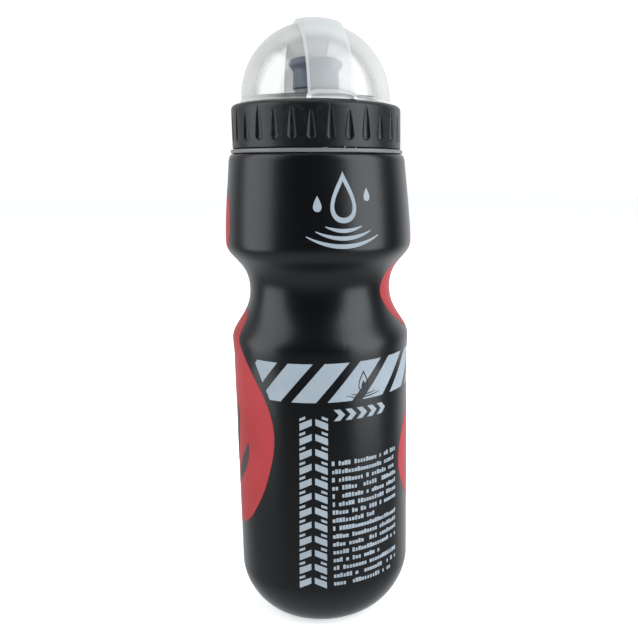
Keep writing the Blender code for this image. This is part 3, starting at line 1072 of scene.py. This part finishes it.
# %% Seal ring
SEAL_BORE = 31.8 * MM
FLASH_TAGS = [(4.2, 2.6, 82), (16.4, 2.2, 38), (24.0, 0.9, 60)]
low, high = SEAL_BOX[0].z, SEAL_BOX[1].z
rim = SEAL_BOX[1].x
shape = bmesh.new()
turned_into(shape, rounded([
    (SEAL_BORE, high, 0.1 * MM),
    (rim, high, 0.45 * MM),
    (rim, low, 0.45 * MM),
    (SEAL_BORE, low, 0.1 * MM),
]))
for degrees, length, lean in FLASH_TAGS:
    tag = Matrix.Rotation(math.radians(degrees), 4, "Z")
    tag = tag @ Matrix.Translation((0.0, -rim + 0.05 * MM, high + 0.05 * MM))
    tag = tag @ Matrix.Rotation(math.radians(lean), 4, "Y")
    size = Matrix.Diagonal((0.22 * MM, 0.2 * MM, length / 2 * MM, 1.0))
    bmesh.ops.create_icosphere(shape, subdivisions=2, radius=1.0, matrix=tag @ size)
seal = finished("seal_gasket", shape, seal_rubber)
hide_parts("seal_ring")
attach(seal, "seal")
report(seal)

# %% [markdown]
# ## Screw lid
#
# The lid is injection moulded in stiff charcoal plastic: a skirt with an internal thread, a flat
# shelf that carries the dust cover, and a raised boss round the nozzle. Its thirty finger grooves
# are round at the bottom and pointed at the top, and every other one is a little shorter. They
# follow a rule, so a Geometry Nodes tree cuts them: on each row it squeezes the columns of the
# skirt so that the same columns always run along the edges of a groove, and then sinks the ones
# between them. The edges come out crisp with far fewer faces than an even grid would need.

# %% Lid plastic
lid_plastic, tree = new_material("lid_plastic")
place = tree.place()
sand = noise(tree, 2600.0, 3.0, place, 0.6)
dust = noise(tree, 210.0, 6.0, place, 0.65)
patches = noise(tree, 38.0, 3.0, place)
base = tree.mix(patches, (0.0022, 0.0028, 0.0042, 1.0), (0.0042, 0.0048, 0.0064, 1.0))
dusty = tree.mix(tree.smooth(dust, 0.52, 0.75) * 0.35, base, (0.030, 0.032, 0.035, 1.0))
specks = tree.smooth(noise(tree, 1500.0, 1.0, place), 0.70, 0.76)
dusty = tree.mix(specks * 0.6, dusty, (0.075, 0.080, 0.086, 1.0))
relief = bump(tree, sand * 0.7 + dust * 0.3, 0.00006, 0.7)
output(tree, surface(tree, Base_Color=dusty, Roughness=0.30 + 0.16 * dust, Normal=relief))
print("lid plastic: fine sand texture with dust")

# %% Tree that cuts the grooves
GROOVES = 30
COLUMNS = 16
GROOVE_SHARE = 5 / COLUMNS
LEAST_HALF = 0.2 * MM
grooves = GeometryTree("finger_grooves", {
    "Skirt radius": "Float", "Low": "Float", "High": "Float", "Shorter": "Float",
    "Half width": "Float", "Depth": "Float", "Turn": "Float", "Material": "Material",
})
x, y, z = grooves.parts(grooves.add("GeometryNodeInputPosition"))
radius = grooves.math("SQRT", x ** 2 + y ** 2)
angle = grooves.math("ARCTAN2", x, y * -1)
pitch = math.tau / GROOVES
cell = angle / pitch
nearest = grooves.math("ROUND", cell)
local = cell - nearest
side = grooves.math("SIGN", local)
share = grooves.math("ABSOLUTE", local)
low, high, half = (grooves.input(label) for label in ("Low", "High", "Half width"))
every_other = grooves.math("MODULO", grooves.math("ABSOLUTE", nearest), 2.0)
high = high - grooves.input("Shorter") * every_other
taper = grooves.clamp((high - z) / (high - low - half)) ** 0.5 * half
down = grooves.math("MAXIMUM", low + half - z, 0.0)
bowl = grooves.math("SQRT", grooves.math("MAXIMUM", half ** 2 - down ** 2, 0.0))
drawn = grooves.math("MAXIMUM", grooves.math("MINIMUM", taper, bowl), LEAST_HALF)
inside = share / GROOVE_SHARE
land = (share - GROOVE_SHARE) / (0.5 - GROOVE_SHARE)
skirt = grooves.input("Skirt radius")
edge = drawn / skirt
squeezed = edge * inside
spread = edge + land * (pitch / 2 - edge)
is_land = inside > 1.0001
moved = side * (squeezed + is_land * (spread - squeezed))
new_angle = nearest * pitch + moved + grooves.input("Turn")
fall = grooves.math("MAXIMUM", 1 - inside ** 3, 0.0)
sink = grooves.input("Depth") * fall * grooves.clamp((drawn - LEAST_HALF) / half * 1.2)
on_skirt = (radius > skirt - 0.01 * MM) * (z > low - 0.4 * MM)
ends = {
    "Geometry": grooves.input("Geometry"),
    "Position": grooves.polar(new_angle, radius - sink * on_skirt, z),
}
grooves.close(grooves.add("GeometryNodeSetPosition", {}, ends))
print("groove tree:", len(grooves.group.nodes), "nodes")

# %% Lid
LID_RADIUS = 34.0 * MM
LID_BORE = 31.8 * MM
LID_SHELF = 215.0 * MM
BOSS_RADIUS = 28.3 * MM
BOSS_TOP = 217.7 * MM
BOSS_UNDERSIDE = 215.7 * MM
STEM_HOLE = 5.6 * MM
LIP_LOW = 210.0 * MM
CEILING = NECK_TOP + 0.6 * MM
GROOVE_LOW = 200.6 * MM
GROOVE_HIGH = 213.2 * MM
GROOVE_HALF = 1.9 * MM
GROOVE_DEPTH = 1.0 * MM
GROOVE_TURN = math.radians(8.6)
LID_SIDES = GROOVES * COLUMNS
lid_low, lid_high = LID_BOX[0].z, LID_BOX[1].z


def divided(outline, radius, longest):
    """Splits the parts of an outline that lie this far from the axis into short pieces."""
    points = []
    for start, end in zip(outline, outline[1:] + outline[:1]):
        points.append(start)
        if min(start[0], end[0]) > radius:
            count = math.ceil(abs(end[1] - start[1]) / longest)
            points += straight(start, end, count)[:-1]
    return points


lid_outline = rounded([
    (STEM_HOLE, lid_high, 0.2 * MM),
    (7.0 * MM, lid_high, 0.3 * MM),
    (7.4 * MM, BOSS_TOP, 0.4 * MM),
    (BOSS_RADIUS, BOSS_TOP, 0.7 * MM),
    (BOSS_RADIUS, LID_SHELF, 0.3 * MM),
    (LID_RADIUS, LID_SHELF, 2.0 * MM),
    (LID_RADIUS, lid_low, 0.35 * MM),
    (LID_BORE, lid_low, 0.25 * MM),
    (LID_BORE, CEILING, 0.3 * MM),
    (BOSS_RADIUS, CEILING, 0.2 * MM),
    (BOSS_RADIUS, LIP_LOW, 0.3 * MM),
    (26.8 * MM, LIP_LOW, 0.3 * MM),
    (26.2 * MM, BOSS_UNDERSIDE, 0.6 * MM),
    (STEM_HOLE, BOSS_UNDERSIDE, 0.2 * MM),
])
lid_outline = divided(lid_outline, LID_RADIUS - 0.001 * MM, 0.28 * MM)
lid = turned("lid_cap", lid_outline, lid_plastic, LID_SIDES)
run_nodes(
    lid, grooves, Skirt_radius=LID_RADIUS, Low=GROOVE_LOW, High=GROOVE_HIGH, Shorter=1.8 * MM,
    Half_width=GROOVE_HALF, Depth=GROOVE_DEPTH, Turn=GROOVE_TURN, Material=lid_plastic,
)
shape = bmesh.new()
shape.from_mesh(lid.data)
thread_into(shape, 32.2 * MM, 30.45 * MM, THREAD_START + PITCH / 2)
bpy.data.objects.remove(lid)
lid = finished("lid_cap", shape, lid_plastic)
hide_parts("screw_lid")
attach(lid, "lid")
report(lid)

# %% [markdown]
# ## Valve stem and O-ring
#
# Under the nozzle a fixed tube stands up from the lid. A plug on three ribs sits in its mouth.
# Pushed down, the nozzle's hole closes on that plug, and pulled up it lets the drink past. A
# small O-ring in a groove keeps the sliding sleeve tight. All of it is turned, except the ribs,
# which are thin blades with softened edges.


# %% Small plastics and rubbers
def moulded(name, base, rough, grain_depth):
    """A plain moulded finish with a fine grain and slight patches."""
    made, tree = new_material(name)
    place = tree.place()
    patches = noise(tree, 90.0, 4.0, place)
    grain = noise(tree, 2400.0, 3.0, place, 0.6)
    pale = tuple(min(1.35 * part, 1.0) for part in base[:3]) + (1.0,)
    tone = tree.mix(patches, base, pale)
    relief = bump(tree, grain, grain_depth)
    output(tree, surface(tree, Base_Color=tone, Roughness=rough + 0.12 * patches, Normal=relief))
    return made


stem_plastic = moulded("stem_plastic", (0.16, 0.17, 0.20, 1.0), 0.38, 0.00003)
o_ring_rubber = moulded("o_ring_rubber", (0.012, 0.012, 0.013, 1.0), 0.50, 0.00002)
sleeve_plastic = moulded("sleeve_plastic", (0.060, 0.075, 0.105, 1.0), 0.34, 0.00002)
mouth_rubber = moulded("mouth_rubber", (0.090, 0.112, 0.150, 1.0), 0.45, 0.00004)
print("four small finishes")

# %% Stem and O-ring
STEM_BORE = 3.5 * MM
STEM_RADIUS = 5.25 * MM
STEM_BEAD = 5.9 * MM
STEM_TOP = 229.4 * MM
FLANGE_RADIUS = 9.0 * MM
FLANGE_TOP = 215.4 * MM
RING_SEAT = 4.5 * MM
PLUG_RADIUS = 2.9 * MM
PLUG_STALK = 1.3 * MM
PLUG_LOW = 221.0 * MM
O_RING_LOW, O_RING_HIGH = 227.3 * MM, 228.9 * MM
stem_low, plug_top = STEM_BOX[0].z, STEM_BOX[1].z

shape = bmesh.new()
turned_into(shape, rounded([
    (STEM_BORE, STEM_TOP, 0.3 * MM),
    (STEM_BEAD, STEM_TOP, 0.25 * MM),
    (STEM_BEAD, O_RING_HIGH, 0.1 * MM),
    (RING_SEAT, O_RING_HIGH, 0.2 * MM),
    (RING_SEAT, O_RING_LOW, 0.2 * MM),
    (STEM_BEAD, O_RING_LOW, 0.1 * MM),
    (STEM_BEAD, 226.6 * MM, 0.2 * MM),
    (STEM_RADIUS, 226.2 * MM, 0.2 * MM),
    (STEM_RADIUS, FLANGE_TOP, 0.3 * MM),
    (FLANGE_RADIUS, FLANGE_TOP, 0.2 * MM),
    (FLANGE_RADIUS, stem_low, 0.3 * MM),
    (STEM_BORE, stem_low, 0.3 * MM),
]), SMALL_SIDES)
turned_into(shape, [(0.0, plug_top)] + rounded([
    (PLUG_RADIUS, plug_top, 0.6 * MM),
    (PLUG_RADIUS, 230.0 * MM, 0.2 * MM),
    (PLUG_STALK, 229.2 * MM, 0.3 * MM),
    (PLUG_STALK, PLUG_LOW, 0.4 * MM),
])[:-1] + [(0.0, PLUG_LOW)], SMALL_SIDES)
for index in range(3):
    turn = Matrix.Rotation(math.tau * (index + 0.5) / 3, 4, "Z")
    place = turn @ Matrix.Translation((2.4 * MM, 0.0, 225.0 * MM))
    size = Matrix.Diagonal((3.2 * MM, 1.0 * MM, 7.0 * MM, 1.0))
    blade = bmesh.ops.create_cube(shape, size=1.0, matrix=place @ size)
    edges = list({edge for vert in blade["verts"] for edge in vert.link_edges})
    bmesh.ops.bevel(shape, geom=edges, offset=0.15 * MM, segments=3, profile=0.5, affect="EDGES")
stem = finished("stem_with_plug", shape, stem_plastic)
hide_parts("valve_stem")
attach(stem, "lid")
report(stem)

ring_centre = (5.35 * MM, (O_RING_LOW + O_RING_HIGH) / 2)
o_ring = turned("o_ring", arc(0.5 * MM, ring_centre, 0, -360, 20), o_ring_rubber, SMALL_SIDES)
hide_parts("stem_o_ring")
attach(o_ring, "lid")
report(o_ring)

# %% [markdown]
# ## Nozzle
#
# The nozzle is a stiff sleeve that slides on the stem, with a soft slate-blue mouthpiece pulled
# over it. The mouthpiece has a wide rounded rim to bite and pull, and a waist below it. Both are
# turned outlines that fill the frame's boxes.

# %% Sleeve and mouthpiece
NOZZLE_SIDES = 128
SLEEVE_HOLE = 3.4 * MM
SLEEVE_RADIUS = 7.3 * MM
SLEEVE_BORE = 6.2 * MM
SLEEVE_LIP = 5.6 * MM
SLEEVE_CEILING = 229.7 * MM
COLLAR_TOP = 221.3 * MM
sleeve_low, sleeve_top = SLEEVE_BOX[0].z, SLEEVE_BOX[1].z
collar = SLEEVE_BOX[1].x
sleeve = turned("sliding_sleeve", rounded([
    (SLEEVE_HOLE, sleeve_top, 0.2 * MM),
    (SLEEVE_RADIUS, sleeve_top, 0.4 * MM),
    (SLEEVE_RADIUS, COLLAR_TOP, 0.2 * MM),
    (collar, COLLAR_TOP, 0.3 * MM),
    (collar, sleeve_low, 0.4 * MM),
    (SLEEVE_LIP, sleeve_low, 0.15 * MM),
    (SLEEVE_LIP, 220.1 * MM, 0.1 * MM),
    (SLEEVE_BORE, 220.5 * MM, 0.1 * MM),
    (SLEEVE_BORE, SLEEVE_CEILING, 0.3 * MM),
    (SLEEVE_HOLE, SLEEVE_CEILING, 0.2 * MM),
]), sleeve_plastic, NOZZLE_SIDES)
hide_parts("nozzle_sleeve")
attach(sleeve, "nozzle")
report(sleeve)

DRINK_HOLE = 3.3 * MM
MOUTH_BORE = 7.6 * MM
MOUTH_CEILING = 231.0 * MM
MOUTH_LOW = 221.6 * MM
mouth_top = MOUTH_BOX[1].z
rim = (MOUTH_BOX[1].x, 231.3 * MM)
neck = (9.1 * MM, 227.2 * MM)
shoulder = (7.2 * MM, mouth_top)
outline = [(DRINK_HOLE, mouth_top - 0.5 * MM)]
outline += curve(outline[-1], (3.4 * MM, mouth_top), (3.9 * MM, mouth_top), (4.4 * MM, mouth_top), 5)
outline += [shoulder]
outline += curve(shoulder, (9.0 * MM, mouth_top), (rim[0], 232.5 * MM), rim, 12)
outline += curve(rim, (rim[0], 229.7 * MM), (neck[0], 230.0 * MM), neck, 16)
outline += straight(neck, (9.4 * MM, MOUTH_LOW + 0.3 * MM), 6)
outline += [(9.2 * MM, MOUTH_LOW), (MOUTH_BORE, MOUTH_LOW)]
outline += [(MOUTH_BORE, MOUTH_CEILING), (DRINK_HOLE, MOUTH_CEILING)]
mouth = turned("bite_rim", outline, mouth_rubber, NOZZLE_SIDES)
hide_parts("mouthpiece")
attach(mouth, "nozzle")
report(mouth)

# %% [markdown]
# ## Dust cover
#
# The cover is a thin clear dome that snaps over the boss. A frosted strap crosses it from front
# to back and ends at the front in a small finger lip. Clear plastic of this kind isn't perfectly
# clear: seen flat on it is nearly invisible, and where the wall is seen edge on it turns milky
# grey. So the shader mixes a see-through surface with a hazy one by how edge-on the wall is, and
# lays a mirror gloss over both by Fresnel's rule, capped so that it stays gentle. This needs no
# refraction, keeps the nozzle readable and comes out clean with few samples.


# %% Cover finishes
COVER_LOW = COVER_BOX[0].z


def see_through(name, tint, face_on, edge_on, rough, shine, gleam):
    """Plastic that is face_on hazy where seen straight and edge_on hazy at its edge."""
    made, tree = new_material(name)
    place = tree.place()
    height = tree.parts(place)[2]
    clouds = noise(tree, 60.0, 4.0, place)
    edge = tree.add("ShaderNodeLayerWeight", {}, {"Blend": 0.5}, "Facing")
    gloss = tree.math("MINIMUM", tree.add("ShaderNodeFresnel", {}, {"IOR": 1.49}), 0.07)
    skirt = 1 - tree.smooth(height, COVER_LOW + 2.2 * MM, COVER_LOW + 4.2 * MM)
    # The lowest millimetre, the rim, is made hazier and its tone is painted paler: a painted highlight
    # along the rim's lower edge.
    rim = 1 - tree.smooth(height, COVER_LOW + 0.7 * MM, COVER_LOW + 1.1 * MM)
    haze = face_on + (edge_on - face_on) * tree.smooth(edge, 0.33, 0.52)
    haze = haze + 0.05 * (clouds - 0.5) + 0.10 * skirt + 0.25 * rim
    pale = tuple(min(1.5 * part, 1.0) for part in tint[:3]) + (1.0,)
    # The tone goes paler in random clouds and, as a painted highlight, along the rim.
    tone = tree.mix(tree.clamp(0.25 * clouds + 0.5 * rim), tint, pale)
    relief = bump(tree, noise(tree, 1400.0, 2.0, place), 0.00001)
    milky = surface(
        tree, Base_Color=tone, Roughness=rough + 0.1 * clouds, Specular_IOR_Level=0.1, Normal=relief,
    )
    clear = tree.add("ShaderNodeBsdfTransparent", {}, {"Color": (0.985, 0.987, 0.985, 1.0)})
    hazy = tree.add("ShaderNodeMixShader", {}, {0: tree.clamp(haze), 1: clear, 2: milky})
    ends = {"Color": (gleam, gleam, gleam, 1.0), "Roughness": shine}
    mirror = tree.add("ShaderNodeBsdfAnisotropic", {}, ends)
    output(tree, tree.add("ShaderNodeMixShader", {}, {0: gloss, 1: hazy, 2: mirror}))
    return made


clear_plastic = see_through(
    "clear_plastic", (0.56, 0.552, 0.53, 1.0),
    face_on=0.02, edge_on=0.60, rough=0.2, shine=0.14, gleam=0.9,
)
frosted_plastic = see_through(
    "frosted_plastic", (0.66, 0.668, 0.66, 1.0),
    face_on=0.33, edge_on=0.62, rough=0.35, shine=0.34, gleam=0.25,
)
print("clear and frosted plastic")

# %% Dome
DOME_CENTRE = 217.5 * MM
STRAP_RADIUS = COVER_BOX[1].z - DOME_CENTRE
DOME_RADIUS = STRAP_RADIUS - 1.4 * MM
COVER_WALL = 1.2 * MM
COVER_RIM = 30.3 * MM
outline = [(0.0, DOME_CENTRE + DOME_RADIUS)]
outline += arc(DOME_RADIUS, (0.0, DOME_CENTRE), 90, 2, 60)
outline += rounded([
    (DOME_RADIUS + 0.1 * MM, DOME_CENTRE - 0.6 * MM, 0.3 * MM),
    (COVER_RIM, COVER_LOW + 1.0 * MM, 0.3 * MM),
    (COVER_RIM, COVER_LOW, 0.25 * MM),
    (28.8 * MM, COVER_LOW, 0.15 * MM),
    (DOME_RADIUS - COVER_WALL, DOME_CENTRE, 0.0),
], 4)
outline += arc(DOME_RADIUS - COVER_WALL, (0.0, DOME_CENTRE), 2, 90, 60)
outline[-1] = (0.0, outline[-1][1])
dome = turned("cover_dome", outline, clear_plastic)
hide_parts("dust_cover")
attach(dome, "cover")
report(dome)

# %% [markdown]
# ### Strap and finger lip
#
# The strap is a crowned band with slanted sides that stands on the dome. Its section is a short
# closed outline, and the section is carried over the dome from the front rim to the back rim.
# The lip is an arch over a shallow recess, so that a fingertip can push the cover up.

# %% Strap
STRAP_TURN = math.radians(11.0)
STRAP_HALF = 8.7 * MM
STRAP_TOP_HALF = 8.0 * MM
CROWN = 1.0 * MM
front = Vector((math.sin(STRAP_TURN), -math.cos(STRAP_TURN), 0.0))
across = Vector((math.cos(STRAP_TURN), math.sin(STRAP_TURN), 0.0))
up = Vector((0.0, 0.0, 1.0))


def strap_section():
    """Closed points (across, radius): crowned top, slanted sides, and an underside in the dome."""
    points = [(-STRAP_HALF, math.sqrt(DOME_RADIUS**2 - STRAP_HALF**2) + 0.1 * MM)]
    edge = STRAP_RADIUS - CROWN
    points += [(-STRAP_TOP_HALF - 0.1 * MM, edge - 0.45 * MM), (-STRAP_TOP_HALF, edge - 0.15 * MM)]
    for step in range(13):
        place = STRAP_TOP_HALF * 0.965 * (step / 6 - 1)
        points.append((place, STRAP_RADIUS - CROWN * (place / STRAP_TOP_HALF) ** 2))
    points += [(-x, r) for x, r in reversed(points[:3])]
    for step in range(13):
        place = STRAP_HALF * (1 - step / 6)
        points.append((place, math.sqrt((DOME_RADIUS - 0.3 * MM) ** 2 - place**2)))
    return points


section = strap_section()
shape = bmesh.new()
stations = []
LEG_STEPS, ARCH_STEPS = 4, 96
leg = DOME_CENTRE - COVER_LOW - 0.2 * MM
for step in range(-LEG_STEPS, ARCH_STEPS + LEG_STEPS + 1):
    turn = math.pi * min(max(step, 0), ARCH_STEPS) / ARCH_STEPS
    below = max(-step, step - ARCH_STEPS, 0) / LEG_STEPS * leg
    spoke = front * math.cos(turn) + up * math.sin(turn)
    centre = up * (DOME_CENTRE - below)
    stations.append([shape.verts.new(centre + spoke * r + across * s) for s, r in section])
skinned(shape, stations)
print("strap stations:", len(stations))

# %% Finger lip
LIP_HALF = 9.3 * MM
LIP_HEIGHT = 3.3 * MM
LIP_THICK = 1.5 * MM
LIP_REACH = 32.4 * MM
LIP_CURVE = 46 * MM
LIP_STEPS = 32
LIP_SQUARE = 0.6
lip_foot = up * (COVER_LOW + 0.05 * MM)
rings = []
for step in range(LIP_STEPS + 1):
    turn = math.pi * step / LIP_STEPS
    side = math.copysign(abs(math.cos(turn)) ** LIP_SQUARE, math.cos(turn))
    rise = math.sin(turn) ** LIP_SQUARE if 0 < step < LIP_STEPS else 0.0
    place = LIP_HALF * side
    reach = LIP_REACH - place**2 / (2 * LIP_CURVE)
    root = math.sqrt((DOME_RADIUS - 0.5 * MM) ** 2 - place**2)
    nose = [(0.0, reach - 0.5 * MM), (0.12, reach - 0.12 * MM), (0.5, reach)]
    nose += [(1.0 - part, depth) for part, depth in reversed(nose[:2])]
    ring = []
    for part, depth in [(0.0, root)] + nose + [(1.0, root)]:
        wide = (LIP_HALF - LIP_THICK * part) * side
        tall = (LIP_HEIGHT - LIP_THICK * part) * rise
        ring.append(shape.verts.new(lip_foot + across * wide + up * tall + front * depth))
    rings.append(ring)
skinned(shape, rings)
strap = finished("cover_strap", shape, frosted_plastic)
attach(strap, "cover")
report(strap)
